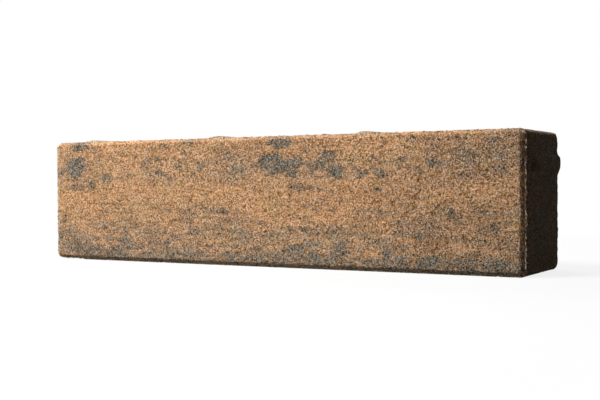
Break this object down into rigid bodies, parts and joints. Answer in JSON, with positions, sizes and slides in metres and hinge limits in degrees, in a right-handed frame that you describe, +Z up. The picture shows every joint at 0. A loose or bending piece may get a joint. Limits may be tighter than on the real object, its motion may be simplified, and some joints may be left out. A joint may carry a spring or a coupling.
{
  "type": "concrete paver",
  "caption": "Long narrow bar paver of pressed colour-mix concrete, standing on edge, with a chamfered wear face and ramped spacer nibs along one long side and on one end.",
  "frame": {"origin": "the middle of the lower long side, which stands on the floor", "axes": "+X along the paver's length, to the right seen from its wear face; +Y from the wear face to the bed face; +Z up across the paver's width"},
  "size_m": [0.3275, 0.06, 0.08],
  "materials": {
    "concrete": "pressed, fine-grained and matt, with mixed tan, brown and grey pigments"
  },
  "bodies": {
    "root": {"paver": "concrete"}
  },
  "joints": []
}
